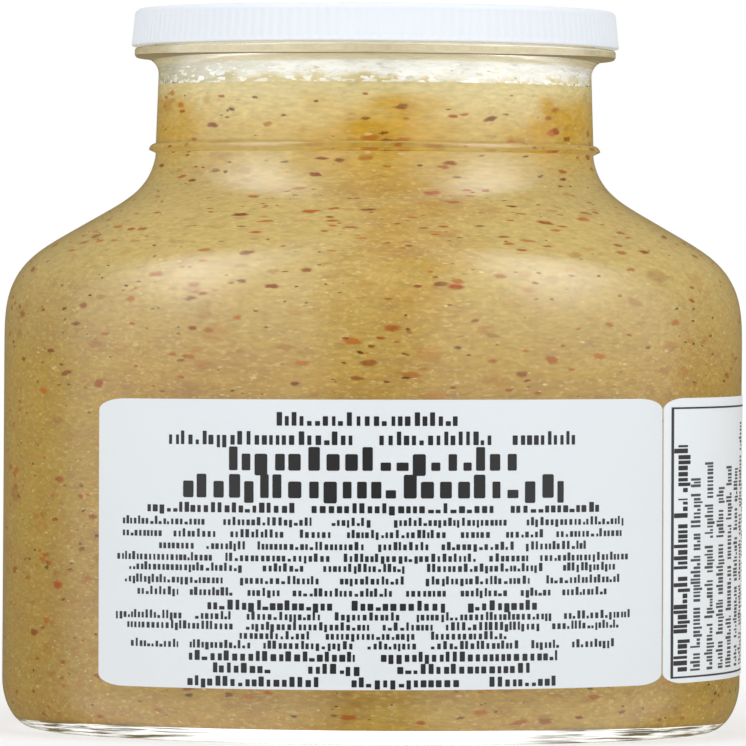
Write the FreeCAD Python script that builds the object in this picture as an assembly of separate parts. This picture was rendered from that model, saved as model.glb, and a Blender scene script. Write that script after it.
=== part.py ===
import FreeCAD, Part
import math
import os

# A squat glass bottle of salad dressing: a round glass bottle with a ringed
# neck, a ribbed plastic screw cap, the dressing inside it up to its fill level,
# and two paper labels that meet edge to edge on the straight side wall.
#
# Everything turns about the Z axis. The bottle stands on z = 0, +Z is up, and
# the middle of the front faces -Y. All lengths are in millimetres and all named
# angles in degrees, with azimuths measured from the front towards +X.

# --- Driving dimensions: the glass -------------------------------------------
# The neck's sizes are set from the finish, which the cap screws onto: a setback
# lies inside it and a projection outside it, both on the radius.
body_diameter = 92.0
rim_height = 88.5
wall = 2.4
base_thickness = 1.6
rest_ring_width = 2.6
push_up_height = 0.8
heel_width = 4.0
heel_height = 6.2
inner_heel_radius = 3.0
shoulder_drop = 37.0
shoulder_radius = 9.4
slope_angle = 60.0
neck_fillet_radius = 6.3
neck_setback = 0.1
waist_setback = 0.4
ring_setback = 0.2
ring_projection = 0.9
ring_underside_height = 0.45
ring_upper_height = 0.75
collar_projection = 2.6
collar_height = 1.25
collar_fillet_radius = 2.0
collar_lower_round = 0.5
collar_upper_round = 0.35
finish_height = 3.85
finish_diameter = 54.8
rim_round = 0.5

# --- Driving dimensions: the screw thread ------------------------------------
thread_pitch = 1.9
thread_root_width = 0.9
thread_crest_width = 0.5
thread_rim_setback = 0.5
bottle_thread_depth = 0.8
bottle_thread_foot_gap = 0.74
cap_thread_depth = 0.6
cap_thread_foot_gap = 0.16
cap_thread_clearance = 0.25

# --- Driving dimensions: the cap ---------------------------------------------
cap_wall = 1.95
cap_taper = 0.4
cap_plate = 1.0
cap_top_round = 0.8
cap_collar_gap = 0.2
rib_count = 156
rib_depth = 0.16

# --- Driving dimensions: the dressing ----------------------------------------
headspace = 8.5

# --- Driving dimensions: the labels ------------------------------------------
label_thickness = 0.12
label_heel_margin = 0.6
label_shoulder_margin = 10.0
label_corner_width = 4.3
label_corner_height = 1.4
label_tilt = 0.3
label_seam = 0.3
front_label_width = 76.7
front_label_azimuth = 2.0
side_label_width = 45.0

# --- Sizes that follow -------------------------------------------------------
body_radius = body_diameter / 2
finish_radius = finish_diameter / 2
neck_radius = finish_radius - neck_setback
waist_radius = finish_radius - waist_setback
collar_radius = finish_radius + collar_projection
bore_radius = waist_radius - wall
rest_ring_outer = body_radius - heel_width
rest_ring_inner = rest_ring_outer - rest_ring_width
fill_height = rim_height - headspace

# The side turns in along the shoulder arc, runs straight down the slope and
# turns back up along the neck fillet. Both arcs turn through the slope's angle.
slope = math.radians(slope_angle)
turning = shoulder_radius + neck_fillet_radius
slope_length = (body_radius - neck_radius - turning * (1 - math.cos(slope))) / math.sin(slope)
shoulder_start_height = rim_height - shoulder_drop
neck_start_height = shoulder_start_height + turning * math.sin(slope) + slope_length * math.cos(slope)

ring_bottom = neck_start_height + ring_setback
ring_tip_height = ring_bottom + ring_underside_height
ring_top = ring_tip_height + ring_upper_height
collar_top = rim_height - finish_height
collar_bottom = collar_top - collar_height
waist_height = collar_bottom - collar_fillet_radius

cap_bottom = collar_top + cap_collar_gap
cap_top = rim_height + cap_plate
cap_bore_radius = finish_radius + bottle_thread_depth + cap_thread_clearance
cap_lower_radius = cap_bore_radius + cap_wall
cap_upper_radius = cap_lower_radius - cap_taper

# Each thread climbs from its foot gap, above the collar or the cap's lower edge.
# The bottle's ends near the rim, and the cap's runs half a turn's climb below it.
bottle_thread_start = collar_top + bottle_thread_foot_gap + thread_root_width / 2
bottle_thread_end = rim_height - thread_rim_setback - thread_root_width / 2
cap_thread_start = cap_bottom + cap_thread_foot_gap + thread_root_width / 2
cap_thread_end = bottle_thread_end - thread_pitch / 2

label_bottom = heel_height + label_heel_margin
label_height = shoulder_start_height - label_shoulder_margin - label_bottom


# --- Outlines ----------------------------------------------------------------
class Outline:
    """A line drawn point by point in the half plane y = 0.

    Each point is a (radius, height) pair, and end is the last one reached.
    """

    def __init__(self, start):
        self.end = start
        self.edges = []

    def add(self, curve, end):
        self.edges.append(curve.toShape())
        self.end = end

    def line(self, end):
        self.add(Part.LineSegment(spot(self.end), spot(end)), end)

    def arc(self, middle, end):
        self.add(Part.Arc(spot(self.end), spot(middle), spot(end)), end)

    def corner(self, apex, end):
        """A quarter of an ellipse that fills the corner at apex."""
        curve = Part.BezierCurve()
        curve.setPoles([spot(self.end), spot(apex), spot(end)])
        curve.setWeight(2, math.sqrt(0.5))
        self.add(curve, end)


def spot(point):
    return FreeCAD.Vector(point[0], 0, point[1])


def on_arc(centre, radius, angle):
    """The point of an arc at an angle, in radians, above the outward direction."""
    return (centre[0] + radius * math.cos(angle), centre[1] + radius * math.sin(angle))


def dome(outline, rise, edge):
    """A spherical dome from its crown on the axis, where the outline is, to its edge."""
    radius = (edge[0] ** 2 + rise ** 2) / (2 * rise)
    halfway = edge[0] / 2
    sag = radius - math.sqrt(radius ** 2 - halfway ** 2)
    outline.arc((halfway, edge[1] + rise - sag), edge)


def revolve(edges):
    """The solid that a closed outline sweeps about the Z axis."""
    face = Part.Face(Part.Wire(Part.__sortEdges__(edges)))
    return face.revolve(FreeCAD.Vector(0, 0, 0), FreeCAD.Vector(0, 0, 1), 360)


# --- The bottle --------------------------------------------------------------
def shoulder(outline, inset):
    """The side from the straight body's top up to the neck's start.

    Moved inwards by inset, it keeps its centres: the shoulder arc shrinks and
    the neck fillet grows, which keeps the wall even.
    """
    body_centre = (body_radius - shoulder_radius, shoulder_start_height)
    neck_centre = (neck_radius + neck_fillet_radius, neck_start_height)
    convex = shoulder_radius - inset
    concave = neck_fillet_radius + inset
    outline.line((body_radius - inset, shoulder_start_height))
    outline.arc(on_arc(body_centre, convex, slope / 2), on_arc(body_centre, convex, slope))
    outline.line(on_arc(neck_centre, concave, math.pi + slope))
    outline.arc(on_arc(neck_centre, concave, math.pi + slope / 2), (neck_radius - inset, neck_start_height))


def inside_outline():
    """The inside of the glass, from the middle of its floor up to the rim's round."""
    inner_radius = body_radius - wall
    outline = Outline((0, base_thickness + push_up_height))
    dome(outline, push_up_height, (rest_ring_inner, base_thickness))
    outline.line((inner_radius - inner_heel_radius, base_thickness))
    outline.corner((inner_radius, base_thickness), (inner_radius, base_thickness + inner_heel_radius))
    shoulder(outline, wall)
    outline.line((bore_radius, waist_height))
    outline.line((bore_radius, rim_height - rim_round))
    return outline


def outside_outline():
    """The outside of the glass, from the middle of the push-up to the rim's round."""
    outline = Outline((0, push_up_height))
    dome(outline, push_up_height, (rest_ring_inner, 0))
    outline.line((rest_ring_outer, 0))
    outline.corner((body_radius, 0), (body_radius, heel_height))
    shoulder(outline, 0)
    ring(outline)
    collar(outline)
    rim(outline)
    return outline


def ring(outline):
    """The bead round the neck, flat below its tip and rounded above it."""
    tip = (neck_radius + ring_projection, ring_tip_height)
    crown = (neck_radius + ring_projection * 2 / 3, ring_tip_height + ring_upper_height * 3 / 5)
    outline.line((neck_radius, ring_bottom))
    outline.line(tip)
    outline.arc(crown, (neck_radius, ring_top))


def collar(outline):
    """The waist above the ring, and the collar that the cap comes down to."""
    outline.line((waist_radius, waist_height))
    outline.corner((waist_radius, collar_bottom), (waist_radius + collar_fillet_radius, collar_bottom))
    outline.line((collar_radius - collar_lower_round, collar_bottom))
    outline.corner((collar_radius, collar_bottom), (collar_radius, collar_bottom + collar_lower_round))
    outline.line((collar_radius, collar_top - collar_upper_round))
    outline.corner((collar_radius, collar_top), (collar_radius - collar_upper_round, collar_top))


def rim(outline):
    """The finish above the collar, up to its rounded rim and over into the bore."""
    outline.line((finish_radius, collar_top))
    outline.line((finish_radius, rim_height - rim_round))
    outline.corner((finish_radius, rim_height), (finish_radius - rim_round, rim_height))
    outline.line((bore_radius + rim_round, rim_height))
    outline.corner((bore_radius, rim_height), (bore_radius, rim_height - rim_round))


def thread(wall_radius, depth, start_height, end_height):
    """One ridge of screw thread that climbs to end_height, above the +X direction.

    It stands out of its wall by depth, inwards if depth is negative, and its
    root is sunk into the wall by half as much.
    """
    root = wall_radius - depth / 2
    root_half = thread_root_width / 2 + (thread_root_width - thread_crest_width) / 4
    crest_half = thread_crest_width / 2
    section = [(root, -root_half), (wall_radius + depth, -crest_half),
               (wall_radius + depth, crest_half), (root, root_half), (root, -root_half)]
    climb = end_height - start_height
    helix = Part.makeHelix(thread_pitch, climb, wall_radius)
    ridge = Part.Wire(helix).makePipeShell([Part.makePolygon([spot(point) for point in section])], True, True)
    ridge.rotate(FreeCAD.Vector(0, 0, 0), FreeCAD.Vector(0, 0, 1), -360 * climb / thread_pitch)
    ridge.translate(FreeCAD.Vector(0, 0, start_height))
    return ridge


def make_bottle():
    inside = inside_outline()
    outside = outside_outline()
    axis = Outline((0, push_up_height))
    axis.line((0, base_thickness + push_up_height))
    glass = revolve(inside.edges + outside.edges + axis.edges)
    return glass.fuse(thread(finish_radius, bottle_thread_depth, bottle_thread_start, bottle_thread_end))


# --- The cap -----------------------------------------------------------------
def rib_section(radius, height):
    """The cap's ribbed outline at one height: a closed zigzag of ridges and grooves."""
    points = []
    for step in range(2 * rib_count + 1):
        angle = math.pi * step / rib_count
        reach = radius - rib_depth * (step % 2)
        points.append(FreeCAD.Vector(reach * math.cos(angle), reach * math.sin(angle), height))
    return Part.makePolygon(points)


def make_cap():
    foot = rib_section(cap_lower_radius, cap_bottom)
    head = rib_section(cap_upper_radius, cap_top)
    ribbed = Part.makeLoft([foot, head], True, True)
    envelope = Outline((0, cap_bottom))
    envelope.line((cap_lower_radius, cap_bottom))
    envelope.line((cap_lower_radius, cap_top - cap_top_round))
    envelope.corner((cap_lower_radius, cap_top), (cap_upper_radius - cap_top_round, cap_top))
    envelope.line((0, cap_top))
    envelope.line((0, cap_bottom))
    bore = Part.makeCylinder(cap_bore_radius, rim_height - cap_bottom, FreeCAD.Vector(0, 0, cap_bottom))
    shell = ribbed.common(revolve(envelope.edges)).cut(bore)
    return shell.fuse(thread(cap_bore_radius, -cap_thread_depth, cap_thread_start, cap_thread_end))


# --- The dressing ------------------------------------------------------------
def make_dressing():
    """The whole inside of the glass, cut off level at the fill height."""
    outline = inside_outline()
    outline.line((0, outline.end[1]))
    outline.line((0, base_thickness + push_up_height))
    below_surface = Part.makeCylinder(body_radius, fill_height)
    return revolve(outline.edges).common(below_surface)


# --- The labels --------------------------------------------------------------
def laid_out(along, up):
    """A point of the flat strip of labels, as an angle round the body and a height.

    The strip lies a little askew, turned about the front label's middle.
    """
    tilt = math.radians(label_tilt)
    offset = up - label_height / 2
    around = along * math.cos(tilt) - offset * math.sin(tilt)
    height = along * math.sin(tilt) + offset * math.cos(tilt)
    front = math.radians(front_label_azimuth - 90)
    return FreeCAD.Base.Vector2d(2 * math.pi + front + around / body_radius, label_bottom + label_height / 2 + height)


def rounded_outline(first, last):
    """A label's flat outline: four sides, and quarter ellipses at its corners."""
    across = label_corner_width
    rise = label_corner_height
    top = label_height
    stops = [(first + across, 0), (last - across, 0), (last, rise), (last, top - rise),
             (last - across, top), (first + across, top), (first, top - rise), (first, rise)]
    apexes = [(last, 0), (last, top), (first, top), (first, 0)]
    curves = []
    for side in range(4):
        start, end, after = (stops[(2 * side + step) % 8] for step in range(3))
        curves.append(Part.Geom2d.Line2dSegment(laid_out(*start), laid_out(*end)))
        turn = Part.Geom2d.BezierCurve2d()
        turn.setPoles([laid_out(*end), laid_out(*apexes[side]), laid_out(*after)])
        turn.setWeight(2, math.sqrt(0.5))
        curves.append(turn)
    return curves


def make_label(first, last):
    """A sheet between two positions along the strip, rolled onto the glass."""
    curves = rounded_outline(first, last)
    faces = []
    rims = []
    for radius in (body_radius, body_radius + label_thickness):
        cylinder = Part.Cylinder()
        cylinder.Radius = radius
        edges = [curve.toShape(cylinder) for curve in curves]
        faces.append(Part.Face(cylinder, Part.Wire(Part.__sortEdges__(edges))))
        rims.append(edges)
    faces += [Part.makeRuledSurface(inner, outer) for inner, outer in zip(*rims)]
    shell = Part.makeShell(faces)
    shell.sewShape()
    return Part.Solid(shell)


# --- The parts ---------------------------------------------------------------
side_label_start = front_label_width / 2 + label_seam
parts = {
    "bottle": make_bottle(),
    "cap": make_cap(),
    "dressing": make_dressing(),
    "front_label": make_label(-front_label_width / 2, front_label_width / 2),
    "side_label": make_label(side_label_start, side_label_start + side_label_width),
}

os.makedirs("parts", exist_ok=True)
for name, shape in parts.items():
    shape.exportStep("parts/" + name + ".step")
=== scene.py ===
"""A squat glass bottle of salad dressing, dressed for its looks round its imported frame.

Lengths are in metres, written as a number of millimetres times MM. The bottle stands
on z = 0 with its axis on Z, and the middle of its front faces -Y. A place round the
bottle is an angle from the front in radians, positive towards +X.
"""

import math

import bpy
import numpy as np
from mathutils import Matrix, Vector


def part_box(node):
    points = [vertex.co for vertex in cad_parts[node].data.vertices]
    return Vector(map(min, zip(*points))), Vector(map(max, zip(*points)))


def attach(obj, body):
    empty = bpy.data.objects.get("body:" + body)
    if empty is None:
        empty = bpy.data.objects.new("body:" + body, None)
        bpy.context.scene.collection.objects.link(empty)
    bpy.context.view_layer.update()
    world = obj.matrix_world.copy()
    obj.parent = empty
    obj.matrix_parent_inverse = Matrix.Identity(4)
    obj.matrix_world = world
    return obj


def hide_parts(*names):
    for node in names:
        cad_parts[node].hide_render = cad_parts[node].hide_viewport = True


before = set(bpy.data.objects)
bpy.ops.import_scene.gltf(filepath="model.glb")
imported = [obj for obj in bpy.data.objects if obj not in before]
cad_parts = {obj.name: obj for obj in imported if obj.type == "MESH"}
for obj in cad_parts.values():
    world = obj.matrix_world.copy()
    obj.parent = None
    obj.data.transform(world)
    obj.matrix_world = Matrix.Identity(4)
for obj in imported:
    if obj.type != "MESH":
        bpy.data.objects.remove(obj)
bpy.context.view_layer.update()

MM = 0.001
rng = np.random.default_rng(12)

# --- Sizes read from the frame -----------------------------------------------------
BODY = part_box("bottle")[1].x
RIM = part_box("bottle")[1].z
CAP_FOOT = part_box("cap")[0].z
CAP_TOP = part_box("cap")[1].z
CAP_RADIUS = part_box("cap")[1].x
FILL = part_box("dressing")[1].z
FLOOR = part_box("dressing")[0].z
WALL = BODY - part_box("dressing")[1].x

# --- The outline of the glass between those ------------------------------------------
SHOULDER_START = 51.5 * MM
SHOULDER_RADIUS = 9.4 * MM
SLOPE = math.radians(60)
NECK_FILLET = 6.3 * MM
NECK = 27.3 * MM
WAIST = 27.0 * MM
RING_SETBACK = 0.2 * MM
RING_PROJECTION = 0.9 * MM
RING_UNDERSIDE = 0.45 * MM
RING_UPPER = 0.75 * MM
COLLAR = 30.0 * MM
COLLAR_TOP = RIM - 3.85 * MM
COLLAR_BOTTOM = COLLAR_TOP - 1.25 * MM
COLLAR_FILLET = 2.0 * MM
COLLAR_LOWER_ROUND = 0.5 * MM
COLLAR_UPPER_ROUND = 0.35 * MM
FINISH = 27.4 * MM
RIM_ROUND = 0.5 * MM
EASING = 6.0 * MM
REST_RING_OUTER = 42.0 * MM
REST_RING_INNER = 39.4 * MM
PUSH_UP = 0.8 * MM
HEEL = 6.2 * MM
INNER_HEEL = 3.0 * MM
BORE = WAIST - WALL
TURNING = SHOULDER_RADIUS + NECK_FILLET
SLOPE_LENGTH = (BODY - NECK - TURNING * (1 - math.cos(SLOPE))) / math.sin(SLOPE)
NECK_START = SHOULDER_START + TURNING * math.sin(SLOPE) + SLOPE_LENGTH * math.cos(SLOPE)
WAIST_HEIGHT = COLLAR_BOTTOM - COLLAR_FILLET

# --- The labels ------------------------------------------------------------------------
LABEL_BOTTOM = 6.8 * MM
LABEL_HEIGHT = 34.7 * MM
LABEL_THICKNESS = 0.12 * MM
LABEL_CORNER = (4.3 * MM, 1.4 * MM)
LABEL_TILT = math.radians(0.3)
LABEL_SEAM = 0.3 * MM
FRONT_LABEL_WIDTH = 76.7 * MM
FRONT_LABEL_ANGLE = math.radians(2.0)
SIDE_LABEL_WIDTH = 45.0 * MM

# --- The cap ---------------------------------------------------------------------------
CAP_UPPER_RADIUS = 30.0 * MM
CAP_BORE = 28.45 * MM
CAP_TOP_ROUND = 0.8 * MM
RIBS = 156
RIB_DEPTH = 0.12 * MM


# --- Outlines, and shapes turned from them ------------------------------------------------
class Outline:
    """A line of (radius, height) points, drawn on from the last one reached."""

    def __init__(self, radius, height):
        self.points = [(radius, height)]

    def line(self, radius, height, pieces=1):
        start = self.points[-1]
        for step in range(1, pieces + 1):
            t = step / pieces
            self.points.append((start[0] + (radius - start[0]) * t, start[1] + (height - start[1]) * t))

    def arc(self, centre, radius, first, last, pieces):
        """An arc between two angles, in radians above the outward direction."""
        for step in range(1, pieces + 1):
            angle = first + (last - first) * step / pieces
            self.points.append((centre[0] + radius * math.cos(angle), centre[1] + radius * math.sin(angle)))

    def corner(self, apex, end, pieces=8):
        """A quarter of an ellipse that fills the corner at apex."""
        start = self.points[-1]
        for step in range(1, pieces + 1):
            angle = math.pi / 2 * step / pieces
            leaving = math.sin(angle)
            arriving = 1 - math.cos(angle)
            self.points.append(tuple(
                start[i] + (apex[i] - start[i]) * leaving + (end[i] - apex[i]) * arriving for i in (0, 1)))

    def dome(self, rise, radius, pieces=10):
        """A shallow dome down from its crown on the axis, where the outline is."""
        crown = self.points[-1][1]
        for step in range(1, pieces + 1):
            share = step / pieces
            self.points.append((radius * share, crown - rise * share ** 2))


def eased(points):
    """A line's points with its changes of bend spread over EASING, less that much at both ends.

    The spread moves the line's end a little sideways, so the points are drawn back
    to the radius that it ends at, the more the nearer they are to it.
    """
    line = np.array(points)
    lengths = np.hypot(*np.diff(line, axis=0).T)
    along = np.concatenate([[0], np.cumsum(lengths)])
    step = 0.1 * MM
    even = np.arange(0, along[-1], step)
    weights = np.hanning(int(2 * EASING / step) // 2 * 2 + 1)
    weights /= weights.sum()
    smooth = np.array([np.convolve(np.interp(even, along, line[:, i]), weights, "valid") for i in (0, 1)])
    sideways = smooth[0, -1] - line[-1, 0]
    smooth[0] -= sideways * np.linspace(0, 1, smooth.shape[1]) ** 4
    kept_each = 5
    return [tuple(p) for p in smooth.T[1::kept_each]]


def side(outline, inset, pieces):
    """The straight side, the shoulder, the slope and the fillet, up to the neck's start."""
    body_centre = (BODY - SHOULDER_RADIUS, SHOULDER_START)
    neck_centre = (NECK + NECK_FILLET, NECK_START)
    convex = SHOULDER_RADIUS - inset
    concave = NECK_FILLET + inset
    slope_end = (neck_centre[0] - concave * math.cos(SLOPE), neck_centre[1] - concave * math.sin(SLOPE))
    outline.line(BODY - inset, SHOULDER_START - EASING, 2 * pieces)
    bend = Outline(BODY - inset, SHOULDER_START - 2 * EASING)
    bend.line(BODY - inset, SHOULDER_START)
    bend.arc(body_centre, convex, 0, SLOPE, 24)
    bend.line(*slope_end)
    bend.arc(neck_centre, concave, math.pi + SLOPE, math.pi, 24)
    bend.line(NECK - inset, NECK_START + EASING)
    outline.points += eased(bend.points)


def inside_outline(outward=0.0):
    """The inside of the glass, from the middle of its floor up to the waist.

    It can be moved outwards, so that what fills the glass reaches into its wall.
    """
    inset = WALL - outward
    floor = FLOOR - outward
    outline = Outline(0, floor + PUSH_UP)
    outline.dome(PUSH_UP, REST_RING_INNER)
    outline.line(BODY - inset - INNER_HEEL, floor, 2)
    outline.corner((BODY - inset, floor), (BODY - inset, floor + INNER_HEEL))
    side(outline, inset, 14)
    outline.line(BORE + outward, WAIST_HEIGHT, 8)
    return outline


def outside_outline():
    """The outside of the glass, from the middle of the push-up to the rim's inner edge."""
    outline = Outline(0, PUSH_UP)
    outline.dome(PUSH_UP, REST_RING_INNER)
    outline.line(REST_RING_OUTER, 0, 3)
    outline.corner((BODY, 0), (BODY, HEEL), 16)
    side(outline, 0, 18)
    ring_bottom = NECK_START + RING_SETBACK
    tip = ring_bottom + RING_UNDERSIDE
    blunt = NECK + RING_PROJECTION * 0.9
    outline.line(NECK, ring_bottom)
    outline.line(blunt, tip - RING_UNDERSIDE * 0.15, 3)
    outline.corner((NECK + RING_PROJECTION, tip), (blunt, tip + RING_UPPER * 0.2), 4)
    outline.corner((NECK + RING_PROJECTION * 0.75, tip + RING_UPPER), (NECK, tip + RING_UPPER), 8)
    outline.line(WAIST, WAIST_HEIGHT, 8)
    outline.corner((WAIST, COLLAR_BOTTOM), (WAIST + COLLAR_FILLET, COLLAR_BOTTOM), 12)
    outline.line(COLLAR - COLLAR_LOWER_ROUND, COLLAR_BOTTOM)
    outline.corner((COLLAR, COLLAR_BOTTOM), (COLLAR, COLLAR_BOTTOM + COLLAR_LOWER_ROUND))
    outline.line(COLLAR, COLLAR_TOP - COLLAR_UPPER_ROUND)
    outline.corner((COLLAR, COLLAR_TOP), (COLLAR - COLLAR_UPPER_ROUND, COLLAR_TOP), 6)
    outline.line(FINISH, COLLAR_TOP)
    outline.line(FINISH, RIM - RIM_ROUND, 2)
    outline.corner((FINISH, RIM), (FINISH - RIM_ROUND, RIM), 5)
    outline.line(BORE + RIM_ROUND, RIM)
    outline.corner((BORE, RIM), (BORE, RIM - RIM_ROUND), 5)
    return outline


def turned(points, segments, ripple=None, ring=False):
    """Vertices and faces of an outline swept round Z. A ring joins its last point to its first.

    ripple(angles, radius, height) gives how far each vertex moves outwards and up.
    A point on the axis gives one vertex, which the faces round it share.
    """
    on_axis = 1e-9
    angles = np.arange(segments) * 2 * math.pi / segments
    vertices, rows = [], []
    for radius, height in points:
        if radius < on_axis:
            rows.append(np.full(segments, len(vertices)))
            vertices.append((0.0, 0.0, height))
            continue
        out, up = ripple(angles, radius, height) if ripple else (0.0, 0.0)
        reach = radius + out + 0 * angles
        level = height + up + 0 * angles
        rows.append(np.arange(segments) + len(vertices))
        vertices += list(zip(reach * np.sin(angles), -reach * np.cos(angles), level))
    faces = []
    pairs = list(zip(rows, rows[1:])) + ([(rows[-1], rows[0])] if ring else [])
    for low, high in pairs:
        for i in range(segments):
            j = (i + 1) % segments
            face = [low[i], low[j], high[j], high[i]]
            faces.append([int(v) for k, v in enumerate(face) if v != face[k - 1]])
    return vertices, faces


# --- Pieces ---------------------------------------------------------------------------------
def piece(name, vertices, faces, material, replaced=(), sharp=40):
    """A mesh piece on the object's one body, shaded smooth but for edges sharper than sharp degrees.

    Pieces don't show in each other's gloss, so the glass mirrors the world's light alone.
    """
    mesh = bpy.data.meshes.new(name)
    mesh.from_pydata([tuple(map(float, v)) for v in vertices], [], faces)
    mesh.validate()
    mesh.update()
    mesh.polygons.foreach_set("use_smooth", [True] * len(mesh.polygons))
    mesh.set_sharp_from_angle(angle=math.radians(sharp))
    made = bpy.data.objects.new(name, mesh)
    made.visible_glossy = False
    bpy.context.scene.collection.objects.link(made)
    mesh.materials.append(material)
    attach(made, "root")
    for node in replaced:
        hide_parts(node)
    return made


def tint(made, colours):
    """Stores a colour for each vertex, in linear light, for the piece's material to read."""
    attribute = made.data.color_attributes.new("tint", "FLOAT_COLOR", "POINT")
    attribute.data.foreach_set("color", np.array(colours, float).ravel())


# --- Colours and shader nodes ------------------------------------------------------------------
def srgb(red, green, blue):
    """A colour as it looks on a screen, 0 to 255, in linear light."""
    channels = [c / 255 for c in (red, green, blue)]
    return [c / 12.92 if c <= 0.04045 else ((c + 0.055) / 1.055) ** 2.4 for c in channels] + [1.0]


class Nodes:
    """A node tree, with short calls for the nodes used here."""

    curve = "LINEAR"

    def __init__(self, tree):
        self.tree = tree

    def node(self, kind, inputs=None, **settings):
        made = self.tree.nodes.new("ShaderNode" + kind)
        for key, value in settings.items():
            setattr(made, key, value)
        for key, value in (inputs or {}).items():
            self.put(made.inputs[key], value)
        return made

    def put(self, socket, value):
        """Links an output to a socket, or sets the socket's own value."""
        if isinstance(value, bpy.types.NodeSocket):
            self.tree.links.new(value, socket)
        else:
            socket.default_value = value

    def maths(self, operation, first, second=0.0):
        return self.node("Math", {0: first, 1: second}, operation=operation).outputs[0]

    def times(self, first, *others):
        """The product of two values or more."""
        for other in others:
            first = self.maths("MULTIPLY", first, other)
        return first

    def off(self, value, middle):
        """How far a value is from a middle, either way."""
        return self.maths("ABSOLUTE", self.maths("SUBTRACT", value, middle))

    def ramp(self, value, low, high, start=0.0, end=1.0):
        """Value's stretch from low to high, mapped to start to end and held at both ends."""
        inputs = {"Value": value, "From Min": low, "From Max": high, "To Min": start, "To Max": end}
        return self.node("MapRange", inputs, interpolation_type=self.curve).outputs[0]

    def mix(self, share, first, second, blend="MIX"):
        """A colour between two, or the two combined by another way of blending."""
        inputs = {0: share, 6: first, 7: second}
        return self.node("Mix", inputs, data_type="RGBA", blend_type=blend).outputs[2]


class Shader(Nodes):
    """A material's nodes round its main shader."""

    def __init__(self, name):
        self.material = bpy.data.materials.new(name)
        self.material.use_nodes = True
        super().__init__(self.material.node_tree)
        self.surface = self.tree.nodes["Principled BSDF"]
        self.output = self.tree.nodes["Material Output"]

    def set(self, **values):
        """Sets the main shader's sockets. Underscores in the names stand for spaces."""
        for key, value in values.items():
            self.put(self.surface.inputs[key.replace("_", " ")], value)

    def place(self):
        """The point's x, y and z in metres."""
        return self.node("TexCoord").outputs["Object"]

    def axes(self):
        """The point's x, y and z, each by itself."""
        return tuple(self.node("SeparateXYZ", {"Vector": self.place()}).outputs)

    def distance(self):
        """How far the point is from the middle of the bottle's foot."""
        return self.node("VectorMath", {0: self.place()}, operation="LENGTH").outputs["Value"]

    def noise(self, size, stretch=(1, 1, 1), detail=2.0, roughness=0.5):
        """Noise with features about size metres across, drawn out where stretch is under 1."""
        scaled = self.node("Mapping", {"Vector": self.place(), "Scale": stretch}).outputs[0]
        inputs = {"Vector": scaled, "Scale": 1 / size, "Detail": detail, "Roughness": roughness}
        return self.node("TexNoise", inputs).outputs["Fac"]

    def bump(self, height, strength, distance):
        inputs = {"Height": height, "Strength": strength, "Distance": distance}
        self.set(Normal=self.node("Bump", inputs).outputs[0])

    def blend(self, share, first, second):
        """A shader node that is partly one node's shader and partly another's."""
        inputs = {0: share, 1: first.outputs[0], 2: second.outputs[0]}
        return self.node("MixShader", inputs)

    def finish(self, shown):
        """Shows a node's shader in place of the main one alone."""
        self.put(self.output.inputs[0], shown.outputs[0])

    def let_light_through(self):
        """Lets the light that falls on what is behind the glass pass straight through it."""
        path = self.node("LightPath")
        clear = self.node("BsdfTransparent")
        shadow = self.blend(path.outputs["Is Shadow Ray"], self.surface, clear)
        self.finish(self.blend(path.outputs["Is Diffuse Ray"], shadow, clear))


# --- Materials ------------------------------------------------------------------------------------
# Grain in the dressing lies flat: it is drawn out round the bottle by this much.
GRAIN = (0.42, 0.42, 1)


def glass_material():
    shader = Shader("clear_glass")
    shader.set(Base_Color=(0.985, 0.995, 0.99, 1), Roughness=0.0, IOR=1.5, Transmission_Weight=1.0)
    ripple = shader.noise(14 * MM, (1, 1, 0.6), 1.0)
    shader.bump(ripple, 0.05, 0.3 * MM)
    shader.let_light_through()
    return shader.material


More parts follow.
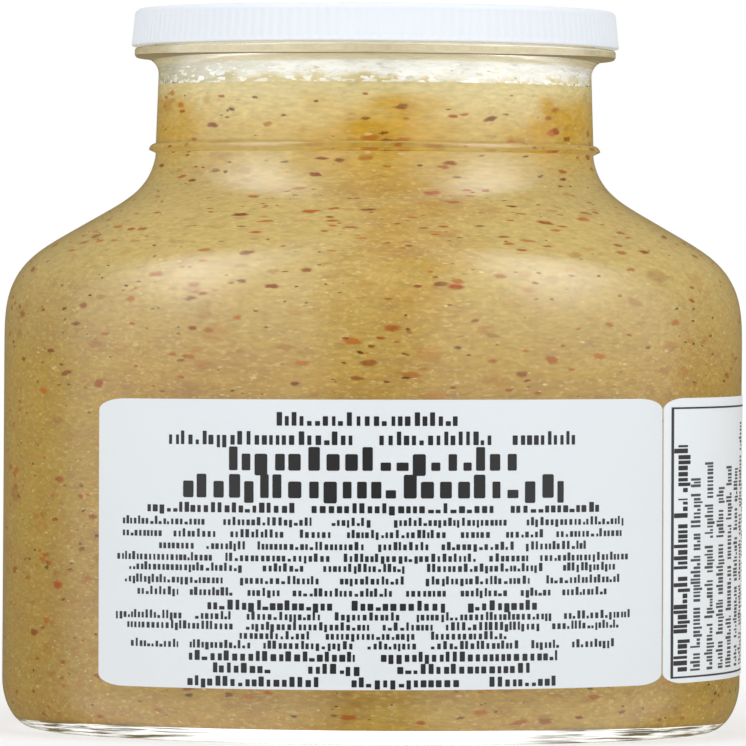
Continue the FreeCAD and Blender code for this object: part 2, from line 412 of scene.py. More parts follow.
def dressing_colour(shader):
    """The dressing's mottled colour: fine grain on broad clouds, with amber oil in the neck, painted haze on
    the shoulder, a painted dark line at the ring and painted shade.
    """
    broad = shader.noise(11 * MM, GRAIN, 2.0)
    middling = shader.noise(2.6 * MM, GRAIN, 3.0, 0.6)
    fine = shader.noise(0.4 * MM, (0.3, 0.3, 1), 3.0, 0.6)
    colour = shader.mix(shader.ramp(broad, 0.36, 0.64), srgb(185, 147, 75), srgb(188, 153, 73))
    colour = shader.mix(shader.ramp(middling, 0.52, 0.7, 0, 0.55), colour, srgb(174, 134, 84))
    colour = shader.mix(shader.ramp(middling, 0.46, 0.32, 0, 0.4), colour, srgb(196, 166, 92))
    flecks = shader.ramp(shader.noise(0.36 * MM, (0.5, 0.5, 1), 1.0), 0.56, 0.7, 0, 0.45)
    colour = shader.mix(flecks, colour, srgb(213, 189, 119))
    across, _, height = shader.axes()
    oily = shader.noise(6 * MM, (0.6, 0.6, 1), 3.0)
    waver = shader.maths("ADD", across, shader.times(shader.maths("SUBTRACT", oily, 0.5), 24 * MM))

    # The shoulder has painted haze, a pale stand-in for the soft boxes' reflection in the glass, on both
    # sides of a darker stripe down the middle.
    beside = shader.ramp(shader.off(waver, 3 * MM), 1 * MM, 12 * MM)
    above_side = shader.ramp(height, SHOULDER_START - 7 * MM, SHOULDER_START + 5 * MM)
    below_neck = shader.ramp(height, NECK_START + 3 * MM, NECK_START)
    painted_shoulder_haze = shader.times(above_side, below_neck)
    colour = shader.mix(shader.times(beside, painted_shoulder_haze, 0.55), colour, srgb(207, 188, 128))

    # The neck is lighter, creamy at its top, with three amber pools.
    in_neck = shader.ramp(height, NECK_START - 5 * MM, NECK_START + 3 * MM)
    colour = shader.mix(shader.times(in_neck, 0.62), colour, srgb(226, 196, 116))
    creamy = shader.ramp(height, FILL - 6 * MM, FILL - 1 * MM, 0.0, 0.7)
    colour = shader.mix(creamy, colour, srgb(234, 220, 164))
    pooled = shader.ramp(oily, 0.24, 0.5, 0.25, 1.0)
    below_top = shader.ramp(height, FILL - 0.8 * MM, FILL - 2.4 * MM)
    pools = [(1.0 * MM, 10 * MM, 0.9), (21.2 * MM, 6 * MM, 0.95), (-24.5 * MM, 6 * MM, 0.65)]
    for middle, reach, strength in pools:
        pool = shader.ramp(shader.off(waver, middle), reach * 0.2, reach, strength, 0.0)
        share = shader.times(pool, in_neck, below_top, pooled)
        colour = shader.mix(share, colour, srgb(204, 156, 34))

    # Behind the neck's ring lies a painted darker line, which stands in for the ring's refraction.
    off_ring = shader.off(height, NECK_START + 0.9 * MM)
    painted_ring_shade = shader.ramp(off_ring, 0.55 * MM, 0.85 * MM, 0.78, 0.0)
    colour = shader.mix(painted_ring_shade, colour, srgb(188, 150, 58))

    # The grain, with painted shade towards the foot and at the left edge, and a painted lighter heel.
    grain = shader.ramp(fine, 0.3, 0.74, 0.87, 1.18)
    low_shade = shader.ramp(height, 9 * MM, 42 * MM, 0.91, 1.0)
    painted_heel_light = shader.ramp(height, 5 * MM, 9 * MM, 1.04, 1.0)
    left_shade = shader.ramp(across, -36 * MM, -28 * MM, 0.89, 1.0)
    shade = shader.times(grain, low_shade, painted_heel_light, left_shade)
    return shader.mix(1.0, colour, shade, "MULTIPLY")


def dressing_material():
    shader = Shader("mustard_dressing")
    shader.set(Base_Color=dressing_colour(shader), Roughness=0.6, IOR=1.36, Specular_IOR_Level=0.1)
    return shader.material


def flake_material(name):
    """Bits of bran and spice. The tint's alpha says how much of the dressing covers them."""
    shader = Shader(name)
    tinted = shader.node("VertexColor", layer_name="tint")
    mottle = shader.ramp(shader.noise(0.5 * MM), 0.35, 0.7, 0, 0.3)
    colour = shader.mix(mottle, tinted.outputs["Color"], srgb(184, 120, 52))
    colour = shader.mix(tinted.outputs["Alpha"], colour, dressing_colour(shader))
    shader.set(Base_Color=colour, Roughness=0.6, IOR=1.36, Specular_IOR_Level=0.1)
    return shader.material


def film_material():
    """The thin residue of dressing on the glass above the fill, with light coming through its gaps, a
    painted glow, painted shade at the left and a painted tint behind the collar.
    """
    shader = Shader("dressing_film")
    across, _, height = shader.axes()
    streaks = shader.noise(1.3 * MM, (0.3, 0.3, 1), 4.0, 0.7)
    ragged = shader.maths("SUBTRACT", shader.noise(2.2 * MM, (0.7, 0.7, 1), 3.0), 0.5)
    ragged = shader.maths("ADD", height, shader.times(ragged, 4 * MM))
    near_fill = shader.ramp(ragged, FILL + 0.1 * MM, FILL + 1.1 * MM, 1.0, 0.0)
    cover = shader.maths("ADD", shader.ramp(streaks, 0.3, 0.6, 0.55, 0.92), shader.times(near_fill, 0.4))
    colour = shader.mix(shader.ramp(streaks, 0.45, 0.7), srgb(232, 231, 222), srgb(246, 246, 242))
    colour = shader.mix(near_fill, colour, srgb(224, 207, 146))
    # Painted shade: the film is darker towards its left edge.
    aside = shader.ramp(across, -10 * MM, -25.5 * MM, 0.0, 0.95)
    colour = shader.mix(aside, colour, srgb(184, 180, 152))
    # Painted: behind the collar the film is tinted tan, a stand-in for the dressing seen by refraction
    # through the collar's glass.
    painted_collar_tint = shader.ramp(height, COLLAR_BOTTOM - 0.3 * MM, COLLAR_BOTTOM + 0.3 * MM)
    colour = shader.mix(painted_collar_tint, colour, srgb(212, 201, 168))
    # The emission is a painted glow that brightens the film, most away from the fill.
    shader.set(Base_Color=colour, Roughness=0.35, IOR=1.36, Emission_Color=colour,
               Emission_Strength=shader.ramp(near_fill, 0.0, 1.0, 0.34, 0.08))
    clear = shader.node("BsdfTransparent")
    shader.finish(shader.blend(shader.ramp(cover, 0.0, 1.0), clear, shader.surface))
    return shader.material


def drop_material():
    """Wet drops of the film's cream, each a little lighter or darker by its tint, with a painted glow that
    makes them bright like glints.
    """
    shader = Shader("film_drops")
    tinted = shader.node("VertexColor", layer_name="tint")
    cloud = shader.ramp(shader.noise(0.7 * MM, GRAIN, 2.0), 0.4, 0.7, 0, 0.3)
    colour = shader.mix(cloud, tinted.outputs["Color"], srgb(252, 252, 246))
    # Painted glow: the emission brightens the drops.
    shader.set(Base_Color=colour, Roughness=0.15, IOR=1.36, Emission_Color=colour, Emission_Strength=0.22)
    return shader.material


def painted_heel_material():
    """A painted glow that stands in for the light from the table gathered in the clear heel: near white,
    with painted dark streaks at the sides that stand in for the refraction of dark surroundings.
    """
    shader = Shader("painted_heel_glow")
    across, depth, height = shader.axes()
    level = shader.maths("ADD", shader.distance(), height)
    drawn_out = 0.04
    place = shader.node("CombineXYZ", {"X": shader.times(across, drawn_out),
                                       "Y": shader.times(depth, drawn_out), "Z": level})
    streaks = shader.node("TexNoise", {"Vector": place.outputs[0], "Scale": 1 / (0.3 * MM), "Detail": 3.0})
    aside = shader.ramp(shader.maths("ABSOLUTE", across), 15 * MM, 25 * MM)
    share = shader.times(aside, shader.ramp(streaks.outputs["Fac"], 0.44, 0.58))
    # Painted light: the glowing near white and the dark streaks stand in for what is seen through the heel.
    colour = shader.mix(share, srgb(250, 251, 249), srgb(92, 84, 58))
    shader.set(Base_Color=colour, Roughness=0.4, IOR=1.5, Emission_Color=colour, Emission_Strength=0.5)
    return shader.material


def cap_material():
    shader = Shader("white_cap_plastic")
    cloud = shader.noise(11 * MM)
    colour = shader.mix(cloud, srgb(237, 242, 247), srgb(231, 237, 246))
    shader.set(Base_Color=colour, Roughness=0.45, IOR=1.49, Specular_IOR_Level=0.08)
    shader.bump(shader.noise(0.18 * MM), 0.12, 0.02 * MM)
    return shader.material


def paper_material(name, lighter):
    """Coated paper. A share of the light round the bottle comes through its thin sheet, and to diffuse rays
    the sheet is a painted glow.
    """
    shader = Shader(name)
    cloud = shader.noise(16 * MM)
    colour = shader.mix(cloud, srgb(232 + lighter, 237 + lighter, 240 + lighter),
                        srgb(227 + lighter, 232 + lighter, 236 + lighter))
    fibre = shader.noise(0.25 * MM, detail=3.0, roughness=0.6)
    shader.set(Base_Color=colour, Roughness=0.42, IOR=1.45)
    shader.bump(fibre, 0.08, 0.01 * MM)
    path = shader.node("LightPath")
    clear = shader.node("BsdfTransparent")
    # Painted glow: to diffuse rays the paper is a glowing sheet, which stands in for light reaching the
    # dressing round the label.
    glow = shader.node("Emission", {"Color": (1, 0.97, 0.9, 1), "Strength": 0.62})
    let_through = shader.times(path.outputs["Is Shadow Ray"], 0.45)
    sheet = shader.blend(let_through, shader.surface, clear)
    shader.finish(shader.blend(path.outputs["Is Diffuse Ray"], sheet, glow))
    return shader.material


def ink_material(name, grey):
    shader = Shader(name)
    wear = shader.ramp(shader.noise(0.4 * MM, detail=3.0, roughness=0.6), 0.55, 0.8, 0, 0.12)
    colour = shader.mix(wear, srgb(grey, grey, grey + 2), srgb(grey + 50, grey + 50, grey + 52))
    shader.set(Base_Color=colour, Roughness=0.5, IOR=1.45)
    return shader.material


# --- The glass, the dressing and what is in it ---------------------------------------------------------
def make_bottle():
    """The glass: one closed wall with its base ring stippled and its inner face a little wavy."""
    outside = outside_outline().points
    inside = inside_outline().points[::-1]
    stipples, stipple_depth = 96, 0.12 * MM
    waves, wave_depth, wave_climb = 3, 0.05 * MM, 6 * MM
    near = 0.1 * MM

    def ripple(angles, radius, height):
        if height < near / 2 and REST_RING_INNER < radius < REST_RING_OUTER:
            return 0.0, stipple_depth * (0.5 - 0.5 * np.cos(angles * stipples))
        if radius < BODY - WALL + near and FLOOR + INNER_HEEL < height < SHOULDER_START:
            return wave_depth * np.sin(waves * angles + height / wave_climb), 0.0
        return 0.0, 0.0

    vertices, faces = turned(outside + [(BORE, WAIST_HEIGHT)] + inside[1:], 384, ripple)
    return piece("bottle_glass", vertices, faces, glass_material(), ["bottle"])


# The dressing reaches this far into the glass, so that no gap shows between them,
# and its surface climbs this far where it meets the glass.
REACH = 0.1 * MM
CLIMB = 0.5 * MM


def dressing_outline():
    """The dressing's outside and its surface, from the middle of its foot."""
    outline = inside_outline(REACH)
    outline.points = [p for p in outline.points if p[1] < FILL - 0.4 * MM]
    edge = BORE + REACH
    outline.line(edge, FILL, 2)
    outline.corner((edge - 0.25 * MM, FILL - 0.9 * CLIMB), (edge - 1.6 * MM, FILL - CLIMB), 6)
    outline.line(0, FILL - CLIMB, 12)
    return outline.points


def make_dressing():
    """The filling, with a surface that is a little uneven inside the edge where it climbs."""
    swell = 0.12 * MM

    def ripple(angles, radius, height):
        if height > FILL - 0.6 * MM and radius < BORE - 1.2 * MM:
            return 0.0, swell * np.sin(4 * angles + radius / (3 * MM)) * radius / BORE
        return 0.0, 0.0

    vertices, faces = turned(dressing_outline(), 256, ripple)
    return piece("dressing_fill", vertices, faces, dressing_material(), ["dressing"])


def make_painted_heel_light():
    """A thin ring in the glass, under the fill's edge, whose painted glow stands in for the light of the
    clear heel.
    """
    start, top = 37 * MM, FLOOR + 0.6 * MM
    outer, inner = 0.3 * MM, 0.16 * MM

    def low(outward):
        return [p for p in inside_outline(outward).points if p[0] > start and p[1] < top]

    vertices, faces = turned(low(outer) + low(inner)[::-1], 256, ring=True)
    return piece("painted_heel_light", vertices, faces, painted_heel_material())


class Skin:
    """The dressing's outer face as seen through the glass: places picked evenly by area."""

    def __init__(self):
        low, high = FLOOR + INNER_HEEL * 0.3, FILL - 0.3 * MM
        points = inside_outline(REACH).points
        self.points = np.array([p for p in points if p[0] > BODY / 2 and low < p[1] < high])
        self.steps = np.diff(self.points, axis=0)
        self.lengths = np.hypot(*self.steps.T)
        areas = self.lengths * (self.points[:-1, 0] + self.points[1:, 0]) / 2
        self.shares = areas / areas.sum()

    def pick(self):
        """A place's angle, radius and height, and the slope of the outline there."""
        while True:
            index = rng.choice(len(self.shares), p=self.shares)
            t = rng.random()
            radius, height = self.points[index] + self.steps[index] * t
            angle = rng.uniform(-math.pi, math.pi)
            if not behind_label(angle, height):
                return angle, radius, height, self.steps[index] / self.lengths[index]


def behind_label(angle, height):
    """True well inside the labels' outline, where nothing in the dressing shows."""
    beside, above = 6 * MM, 3 * MM
    around = (angle - FRONT_LABEL_ANGLE) * BODY
    first = -FRONT_LABEL_WIDTH / 2 + beside
    last = FRONT_LABEL_WIDTH / 2 + SIDE_LABEL_WIDTH - beside
    low, high = LABEL_BOTTOM + above, LABEL_BOTTOM + LABEL_HEIGHT - above
    return first < around < last and low < height < high


def lens_at(place, width, height, turn, lift, thickness, corners):
    """A small irregular lens that lies on the dressing's face: its vertices and faces.

    The vertices are its two poles, then an inner ring, then the rim.
    """
    angle, radius, level, slope = place
    middle = Vector((radius * math.sin(angle), -radius * math.cos(angle), level))
    along = Vector((math.cos(angle), math.sin(angle), 0))
    outward = Vector((math.sin(angle), -math.cos(angle), 0))
    up = outward * slope[0] + Vector((0, 0, slope[1]))
    normal = outward * slope[1] - Vector((0, 0, slope[0]))
    reaches = [1 + rng.uniform(-0.28, 0.22) for _ in range(corners)]
    spots = [middle + normal * (lift + thickness / 2), middle + normal * (lift - thickness / 2)]
    for share, rise in ((0.6, 0.4), (1.0, 0.0)):
        for i, reach in enumerate(reaches):
            a = 2 * math.pi * i / corners
            x = width / 2 * math.cos(a) * reach * share
            y = height / 2 * math.sin(a) * reach * share + x * turn
            fall = x * x / (2 * radius)
            spots.append(middle + along * x + up * y + normal * (lift + rise * thickness - fall))
    faces = []
    for i in range(corners):
        j = (i + 1) % corners
        inner, rim = (2 + i, 2 + j), (2 + corners + i, 2 + corners + j)
        faces += [[0, inner[0], inner[1]], [inner[0], rim[0], rim[1], inner[1]], [1, rim[1], rim[0]]]
    return spots, faces


def scatter(name, count, pick, size, flatness, palette, veil, thickness, corners, material, softness=0.9):
    """Many small bits joined in one piece.

    size is the least, the usual and the greatest width, flatness the range of
    width over height, palette the colours, veil the least and greatest share of
    each that the dressing hides, and softness how far their rims melt into it.
    """
    spread, lean, lift = 0.42, 0.08, 0.03 * MM
    least, usual, greatest = size
    vertices, faces, colours = [], [], []
    for _ in range(count):
        width = min(max(usual * rng.lognormal(0, spread), least), greatest)
        height = width / rng.uniform(*flatness)
        spots, sides = lens_at(pick(), width, height, rng.normal(0, lean), lift, thickness, corners)
        base = np.array(palette[rng.integers(len(palette))][:3]) * rng.uniform(0.8, 1.15)
        hidden = rng.uniform(*veil)
        rim = hidden + (1 - hidden) * softness
        faces += [[v + len(vertices) for v in side] for side in sides]
        vertices += spots
        colours += [[*base, hidden]] * (2 + corners) + [[*base, rim]] * corners
    made = piece(name, vertices, faces, material)
    tint(made, colours)
    return made


def make_bits():
    """What floats in the dressing: bran, orange peel, bran further in, pepper and pale flecks."""
    skin = Skin()
    brown = [srgb(158, 82, 24), srgb(172, 96, 28), srgb(140, 68, 22), srgb(182, 106, 26), srgb(126, 62, 22)]
    orange = [srgb(176, 90, 16), srgb(166, 76, 14)]
    dark = [srgb(84, 54, 14), srgb(102, 64, 16), srgb(60, 42, 12), srgb(122, 70, 22)]
    pale = [srgb(216, 194, 128), srgb(210, 186, 108), srgb(224, 206, 150)]
    scatter("bran_flakes", 800, skin.pick, (0.6 * MM, 1.4 * MM, 2.5 * MM), (2.1, 3.6), brown, (0, 0.27),
            0.06 * MM, 14, flake_material("bran"), 0.75)
    scatter("orange_flakes", 170, skin.pick, (0.8 * MM, 1.5 * MM, 2.6 * MM), (2.2, 3.4), orange, (0, 0.35),
            0.06 * MM, 14, flake_material("orange_peel"), 0.6)
    scatter("sunk_flakes", 900, skin.pick, (0.8 * MM, 2.0 * MM, 5.0 * MM), (1.8, 3.2), brown, (0.6, 0.9),
            0.04 * MM, 12, flake_material("sunk_bran"))
    scatter("pepper_specks", 1000, skin.pick, (0.25 * MM, 0.6 * MM, 1.2 * MM), (1.8, 3.6), dark, (0, 0.4),
            0.05 * MM, 9, flake_material("pepper"), 0.5)
    scatter("pale_flecks", 8000, skin.pick, (0.25 * MM, 0.5 * MM, 1.2 * MM), (2.0, 3.6), pale, (0.2, 0.6),
            0.03 * MM, 6, flake_material("mustard_fleck"))


def make_film():
    """The residue above the fill: a thin sleeve against the bore, and drops on it."""
    back = BORE + 0.04 * MM

    def ripple(angles, radius, height):
        if radius < BORE - 0.1 * MM:
            slow = 0.09 * MM * np.sin(7 * angles + height / MM)
            quick = 0.05 * MM * np.sin(19 * angles - height / MM)
            return slow + quick, 0.0
        return 0.0, 0.0

    def on_bore():
        """A place for a drop, likelier low down, and the slope of the bore."""
        highest = COLLAR_BOTTOM - 0.6 * MM
        height = FILL + (highest - FILL) * rng.random() ** 2.4
        return rng.uniform(-math.pi, math.pi), BORE + 0.02 * MM, height, (0.0, 1.0)

    outline = Outline(back, FILL - 0.6 * MM)
    outline.line(back, RIM - 1.2 * MM, 10)
    outline.line(BORE - 0.25 * MM, RIM - 1.4 * MM)
    outline.line(BORE - 0.35 * MM, FILL - 0.55 * MM, 10)
    vertices, faces = turned(outline.points, 192, ripple, ring=True)
    piece("neck_film", vertices, faces, film_material())

    cream = [srgb(250, 250, 246), srgb(242, 241, 230), srgb(234, 230, 208), srgb(216, 212, 190)]
    scatter("film_drops", 700, on_bore, (0.25 * MM, 0.65 * MM, 2.2 * MM), (1.4, 3.2), cream, (0, 0),
            0.1 * MM, 14, drop_material(), 0)


# --- The cap ---------------------------------------------------------------------------------------------
def make_cap():
    """A shallow screw cap: fine rounded ribs, a plain foot band and a rounded top edge."""
    foot_band, foot_round = 0.3 * MM, 0.2 * MM
    rib_start = CAP_FOOT + foot_band
    rib_end = CAP_TOP - CAP_TOP_ROUND * 0.35
    outline = Outline(0, RIM)
    outline.line(CAP_BORE, RIM)
    outline.line(CAP_BORE, CAP_FOOT + 0.15 * MM, 4)
    outline.corner((CAP_BORE, CAP_FOOT), (CAP_BORE + 0.3 * MM, CAP_FOOT), 3)
    outline.line(CAP_RADIUS - foot_round, CAP_FOOT)
    outline.corner((CAP_RADIUS, CAP_FOOT), (CAP_RADIUS, CAP_FOOT + foot_round), 4)
    outline.line(CAP_RADIUS - 0.02 * MM, rib_start)
    outline.line(CAP_UPPER_RADIUS, CAP_TOP - CAP_TOP_ROUND, 14)
    outline.corner((CAP_UPPER_RADIUS, CAP_TOP), (CAP_UPPER_RADIUS - CAP_TOP_ROUND, CAP_TOP), 10)
    outline.line(CAP_UPPER_RADIUS - 2.4 * MM, CAP_TOP, 2)
    outline.line(0, CAP_TOP - 0.05 * MM, 8)

    def ripple(angles, radius, height):
        if radius < CAP_UPPER_RADIUS - CAP_TOP_ROUND or height < rib_start:
            return 0.0, 0.0
        rising = min((height - rib_start) / (0.15 * MM), 1)
        falling = min(max((rib_end - height) / (0.6 * MM), 0), 1)
        groove = (0.5 + 0.5 * np.cos(angles * RIBS)) ** 2
        return -RIB_DEPTH * (rising * falling) * groove, 0.0

    vertices, faces = turned(outline.points, RIBS * 6, ripple)
    return piece("screw_cap", vertices, faces, cap_material(), ["cap"])


# --- The labels --------------------------------------------------------------------------------------------
def on_label(along, up, lift):
    """A point over the strip of labels: along from the front label's middle, up from its foot."""
    offset = up - LABEL_HEIGHT / 2
    around = along * math.cos(LABEL_TILT) - offset * math.sin(LABEL_TILT)
    rise = along * math.sin(LABEL_TILT) + offset * math.cos(LABEL_TILT)
    angle = FRONT_LABEL_ANGLE + around / BODY
    radius = BODY + lift
    return (radius * math.sin(angle), -radius * math.cos(angle), LABEL_BOTTOM + LABEL_HEIGHT / 2 + rise)


def make_label(name, node, first, last, material):
    """A sheet of paper rolled onto the glass, cut to rounded corners.

    Its points stand in columns, closer together where the corners round.
    """
    wide, tall = LABEL_CORNER
    steps, spacing, rows = 8, 1.1 * MM, 12
    rounding = [wide * (1 - math.cos(math.pi / 2 * i / steps)) for i in range(steps + 1)]
    straight = last - first - 2 * wide
    middle = int(straight / spacing)
    columns = [first + r for r in rounding]
    columns += [first + wide + straight * i / middle for i in range(1, middle)]
    columns += [last - r for r in reversed(rounding)]
    vertices = []
    for lift in (0.0, LABEL_THICKNESS):
        for along in columns:
            edge = min(along - first, last - along)
            cut = 0.0
            if edge < wide:
                cut = tall * (1 - math.sqrt(max(0.0, 1 - ((wide - edge) / wide) ** 2)))
            for row in range(rows + 1):
                up = cut + (LABEL_HEIGHT - 2 * cut) * row / rows
                vertices.append(on_label(along, up, lift))
    per_column = rows + 1
    per_sheet = per_column * len(columns)
    faces = []
    for c in range(len(columns) - 1):
        for r in range(rows):
            a = c * per_column + r
            b = a + per_column
            faces.append([a, a + 1, b + 1, b])
            faces.append([per_sheet + v for v in (a, b, b + 1, a + 1)])
    loop = [c * per_column for c in range(len(columns))]
    loop += [(len(columns) - 1) * per_column + r for r in range(1, rows + 1)]
    loop += [c * per_column + rows for c in range(len(columns) - 2, -1, -1)]
    loop += list(range(rows - 1, 0, -1))
    for a, b in zip(loop, loop[1:] + loop[:1]):
        faces.append([a, b, per_sheet + b, per_sheet + a])
    return piece(name, vertices, faces, material, [node])


class Print:
    """Printed marks that stand for text: bars of ink on the labels, in one piece."""

    LIFT = 0.02 * MM
    SPACING = 0.9 * MM

    def __init__(self):
        self.vertices = []
        self.faces = []

    def block(self, left, right, low, high, rounding=0.1):
        """A rectangle of ink with its corners taken off by a share of its shorter side."""
        cut = min(right - left, high - low) * rounding
        columns = max(1, int((right - left) / self.SPACING))
        straight = right - left - 2 * cut
        xs = [left, left + cut]
        xs += [left + cut + straight * i / columns for i in range(1, columns)]
        xs += [right - cut, right]
        start = len(self.vertices)
        for lift in (LABEL_THICKNESS / 2, LABEL_THICKNESS + self.LIFT):
            for x in xs:
                inset = cut if x in (left, right) else 0.0
                self.vertices += [on_label(x, low + inset, lift), on_label(x, high - inset, lift)]
        sheet = 2 * len(xs)
        for i in range(len(xs) - 1):
            a = start + 2 * i
            self.faces.append([a, a + 1, a + 3, a + 2])
            self.faces.append([sheet + v for v in (a, a + 2, a + 3, a + 1)])
            self.faces.append([a, a + 2, sheet + a + 2, sheet + a])
            self.faces.append([a + 3, a + 1, sheet + a + 1, sheet + a + 3])
        end = start + sheet - 2
        self.faces.append([start + 1, start, start + sheet, start + sheet + 1])
        self.faces.append([end, end + 1, end + sheet + 1, end + sheet])

    def finish(self, name, material):
        return piece(name, self.vertices, self.faces, material, sharp=30)


def bars(length, pitch, weight):
    """Upright marks along a word: where each starts and ends, and its foot and top.

    The foot and top are shares of the line's height. Most marks fill the line,
    some stand above it, some fill its lower half and a few reach below it.
    """
    kinds = [(0, 1), (0, 1.42), (0, 0.5), (-0.3, 1)]
    marks = []
    at = 0.0
    while at < length - pitch * 0.2:
        wide = min(pitch * weight * rng.uniform(0.3, 0.5), length - at)
        foot, top = kinds[rng.choice(len(kinds), p=[0.56, 0.24, 0.12, 0.08])]
        marks.append((at, at + wide, foot, top))
        at += wide + pitch * rng.uniform(0.14, 0.34)
    return marks


def print_line(ink, middle, base, width, size, pitch, weight, longest):
    """A line of words made of bars, of a given width round its middle.

    A word's length is a number of pitches, up to longest.
    """
    space = 1.6
    words = []
    left = width / pitch
    while left > 2:
        length = min(rng.integers(longest // 4, longest), left)
        words.append(length)
        left -= length + space
    spare = width - sum(words) * pitch
    gap = spare / max(1, len(words) - 1)
    x = middle - width / 2
    for word in words:
        for start, end, foot, top in bars(word * pitch, pitch, weight):
            ink.block(x + start, x + end, base + size * foot, base + size * top)
        x += word * pitch + gap


def make_front_print():
    """The front label's lines: two small heads, a two-line title, bold lines and small text.

    A style is its height, pitch, weight and longest word. A line is its style, its
    distance below the last one and its width, both in millimetres.
    """
    styles = {
        "head": (1.15 * MM, 1.7 * MM, 0.8, 18),
        "title": (2.0 * MM, 3.0 * MM, 1.1, 90),
        "bold": (0.85 * MM, 1.3 * MM, 1.15, 18),
        "text": (0.7 * MM, 1.0 * MM, 0.95, 18),
    }
    lines = [("head", 0.0, 23.4), ("head", 2.3, 51.7), ("title", 2.6, 35.4), ("title", 3.3, 47.7),
             ("bold", 2.4, 58.0), ("text", 1.6, 65.7), ("text", 1.45, 65.7), ("text", 1.45, 54.5),
             ("text", 1.4, 67.5), ("text", 1.2, 63.6), ("text", 1.5, 65.0), ("text", 1.45, 61.0),
             ("bold", 1.6, 41.0), ("text", 1.25, 67.9), ("text", 1.2, 64.2), ("text", 1.1, 32.6),
             ("text", 1.15, 63.0), ("bold", 1.4, 46.0), ("bold", 1.45, 39.5), ("bold", 1.6, 46.4)]
    dark, grey = Print(), Print()
    middle = -1.4 * MM
    level = LABEL_HEIGHT - 2.5 * MM
    for style, leading, width in lines:
        size, pitch, weight, longest = styles[style]
        level -= leading * MM
        ink = grey if style == "text" else dark
        print_line(ink, middle, level - size * 0.55, width * MM, size, pitch, weight, longest)
    dark.finish("front_label_heads", ink_material("black_ink", 14))
    grey.finish("front_label_text", ink_material("grey_ink", 28))


def make_side_print():
    """The side label's panel: a ruled frame, a bold heading and columns read from below."""
    margin = 1.5 * MM
    first = FRONT_LABEL_WIDTH / 2 + LABEL_SEAM
    left, right = first + margin, first + SIDE_LABEL_WIDTH - margin
    low, high = 0.6 * MM, LABEL_HEIGHT - 1.1 * MM
    upright, level, rounding = 0.55 * MM, 0.22 * MM, 0.05
    rules = Print()
    rules.block(left, left + upright, low, high, rounding)
    rules.block(right - upright, right, low, high, rounding)
    rules.block(left, right, low, low + level, rounding)
    rules.block(left, right, high - level, high, rounding)
    rules.finish("side_label_rules", ink_material("rule_ink", 40))
    heading, columns = Print(), Print()
    pitch = 3.6 * MM
    for column in range(int((right - left - 2 * MM) / pitch)):
        bold = column == 0
        ink = heading if bold else columns
        wide = 2.1 * MM if bold else 1.7 * MM
        letter = 0.78 * MM if bold else 0.7 * MM
        x = left + margin + pitch * column
        y = low + 0.8 * MM
        stop = high - (high - low) * (0.14 if bold else rng.uniform(0.05, 0.35))
        while y < stop:
            word = rng.integers(3, 10) * letter
            for start, end, foot, top in bars(min(word, stop - y), letter, 1.5 if bold else 1.0):
                ink.block(x + wide * (1 - top), x + wide * (1 - foot), y + start, y + end)
            y += word + letter
    heading.finish("side_label_heading", ink_material("heading_ink", 30))
    columns.finish("side_label_columns", ink_material("column_ink", 70))


# --- The studio -------------------------------------------------------------------------------------------
def make_floor():
    """A pale table that turns into pure white away from the bottle."""
    shader = Shader("pale_floor")
    shader.set(Base_Color=(0.93, 0.93, 0.93, 1), Roughness=0.9, IOR=1.2)
    white = shader.node("Emission", {"Color": (1, 1, 1, 1), "Strength": 1.0})
    far = shader.ramp(shader.distance(), 50 * MM, 500 * MM, 0.45, 1.0)
    shader.finish(shader.blend(far, shader.surface, white))
    size, sunk = 6.0, 0.02 * MM
    corners = [(-size, -size, 0), (size, -size, 0), (size, size, 0), (-size, size, 0)]
    mesh = bpy.data.meshes.new("floor")
    mesh.from_pydata(corners, [], [[0, 1, 2, 3]])
    mesh.materials.append(shader.material)
    floor = bpy.data.objects.new("floor", mesh)
    floor.location.z = -sunk
    floor.visible_glossy = False
    bpy.context.scene.collection.objects.link(floor)


def soft_lamp(name, angle, rise, distance, size, power):
    """A square soft lamp that faces the bottle's middle, from an angle round and an angle up.

    The angles are in degrees and the power in watts.
    """
    lamp = bpy.data.lights.new(name, "AREA")
    lamp.shape = "SQUARE"
    lamp.size = size
    lamp.energy = power
    made = bpy.data.objects.new(name, lamp)
    middle = Vector((0, 0, CAP_TOP / 2))
    round_by, up_by = math.radians(angle), math.radians(rise)
    level = math.cos(up_by)
    away = Vector((math.sin(round_by) * level, -math.cos(round_by) * level, math.sin(up_by)))
    made.location = middle + away * distance
    made.rotation_euler = (-away).to_track_quat("-Z", "Y").to_euler()
    made.visible_camera = False
    made.visible_glossy = False
    made.visible_transmission = False
    bpy.context.scene.collection.objects.link(made)


class Sky(Nodes):
    """The world's nodes, where a direction is the place it is seen in, and every ramp is soft."""

    curve = "SMOOTHSTEP"

    def __init__(self):
        self.world = bpy.data.worlds.new("studio")
        self.world.use_nodes = True
        super().__init__(self.world.node_tree)
        self.tree.nodes.clear()
        direction = self.node("TexCoord").outputs["Generated"]
        self.x, self.y, self.z = self.node("SeparateXYZ", {"Vector": direction}).outputs
        self.path = self.node("LightPath")


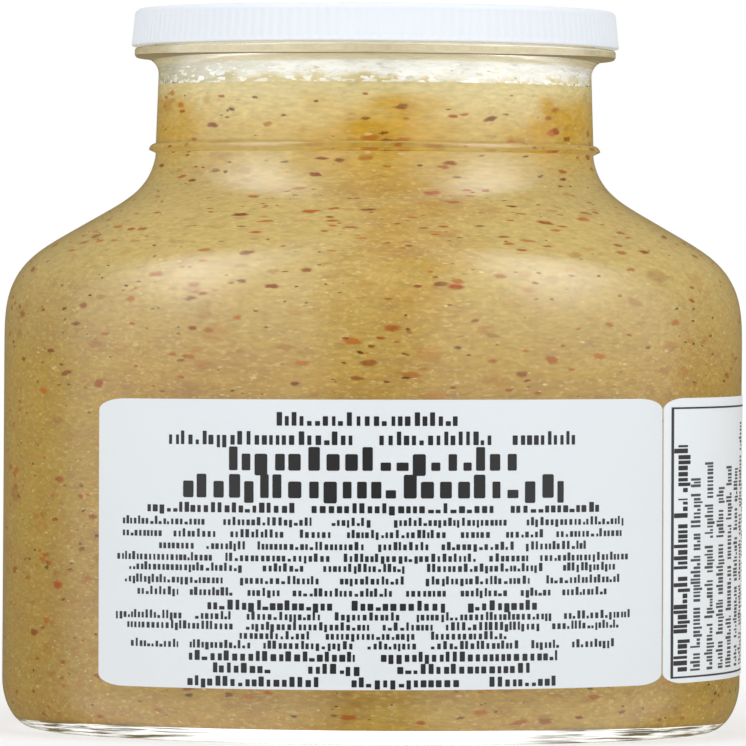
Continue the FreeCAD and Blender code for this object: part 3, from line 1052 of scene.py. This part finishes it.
def make_world():
    """White to the eye and through the glass, two soft boxes in gloss, and an even fill.

    In gloss a box on each side is a soft band that leans from beside the bottle to
    above and behind it, over dimmer walls with a gap in front.
    """
    sky = Sky()
    even_light, gap_light = 0.39, 0.14

    # The two boxes, brighter upwards and towards the front.
    reach = sky.maths("ABSOLUTE", sky.x)
    slant = sky.maths("ADD", sky.maths("ADD", reach, sky.times(sky.y, 0.6)), -0.6)
    band = sky.ramp(sky.maths("ABSOLUTE", slant), 0.45, 0.0)
    upwards = sky.ramp(sky.z, 0.0, 0.95, 0.3, 5.0)
    forwards = sky.ramp(sky.y, 0.8, -0.35)
    above_floor = sky.ramp(sky.z, -0.1, 0.12)
    boxes = sky.times(band, sky.times(upwards, forwards, above_floor))

    # The walls beside and in front of the bottle, brighter below the horizon.
    front = sky.ramp(sky.y, 0.6, 0.0)
    under = sky.ramp(sky.z, -0.02, -0.3, 1.2, 1.6)
    walls = sky.times(sky.ramp(reach, 0.08, 0.4), front, under)
    gloss = sky.maths("ADD", sky.maths("ADD", boxes, walls), gap_light)

    # Which rays see plain white, which see the gloss and which the even light.
    passing = sky.path.outputs["Is Transmission Ray"]
    plain = sky.maths("MAXIMUM", sky.path.outputs["Is Camera Ray"], passing)
    shiny = sky.times(sky.path.outputs["Is Glossy Ray"], sky.maths("SUBTRACT", 1.0, plain))
    fill = sky.ramp(shiny, 0, 1, even_light, gloss)

    # Behind the bottle the gloss is the warm light that comes back through the dressing.
    warmth = sky.times(shiny, sky.ramp(sky.y, 0.25, 0.6))
    warmer = sky.ramp(sky.z, 0.1, 0.5, 0.44, 0.72)
    strength = sky.ramp(plain, 0, 1, sky.ramp(warmth, 0, 1, fill, warmer), 1.0)
    colour = sky.mix(warmth, (1, 1, 1, 1), (0.6, 0.47, 0.24, 1))
    background = sky.node("Background", {"Color": colour, "Strength": strength})
    sky.node("OutputWorld", {"Surface": background.outputs[0]})
    bpy.context.scene.world = sky.world


def make_camera():
    """A long lens straight in front, a little above the bottle's middle.

    It is rolled a little, which stands for the lean of the bottle in its picture.
    Blender takes the lens and the sensor in plain millimetres.
    """
    distance, height, aimed_height = 1058 * MM, 53.1 * MM, 44.3 * MM
    roll = math.radians(0.4)
    camera = bpy.data.cameras.new("camera")
    camera.lens = 409
    camera.sensor_width = 36
    camera.clip_end = 20
    made = bpy.data.objects.new("camera", camera)
    made.location = (0, -distance, height)
    aim = Vector((0, 0, aimed_height))
    made.rotation_euler = (aim - made.location).to_track_quat("-Z", "Y").to_euler()
    made.rotation_euler.rotate_axis("Z", roll)
    bpy.context.scene.collection.objects.link(made)
    bpy.context.scene.camera = made


make_camera()
make_world()
make_floor()
soft_lamp("left_lamp", -50, 35, 0.75, 0.42, 1.72)
soft_lamp("right_lamp", 50, 35, 0.75, 0.42, 1.9)
soft_lamp("top_lamp", 0, 80, 0.7, 0.35, 1.02)
soft_lamp("back_lamp", 180, 35, 0.75, 0.42, 1.05)
bpy.context.scene.view_settings.view_transform = "Standard"

make_bottle()
make_dressing()
make_painted_heel_light()
make_bits()
make_film()
make_cap()
half = FRONT_LABEL_WIDTH / 2
side_start = half + LABEL_SEAM
side_end = side_start + SIDE_LABEL_WIDTH
make_label("front_label_paper", "front_label", -half, half, paper_material("front_paper", 0))
make_label("side_label_paper", "side_label", side_start, side_end, paper_material("side_paper", 8))
make_front_print()
make_side_print()
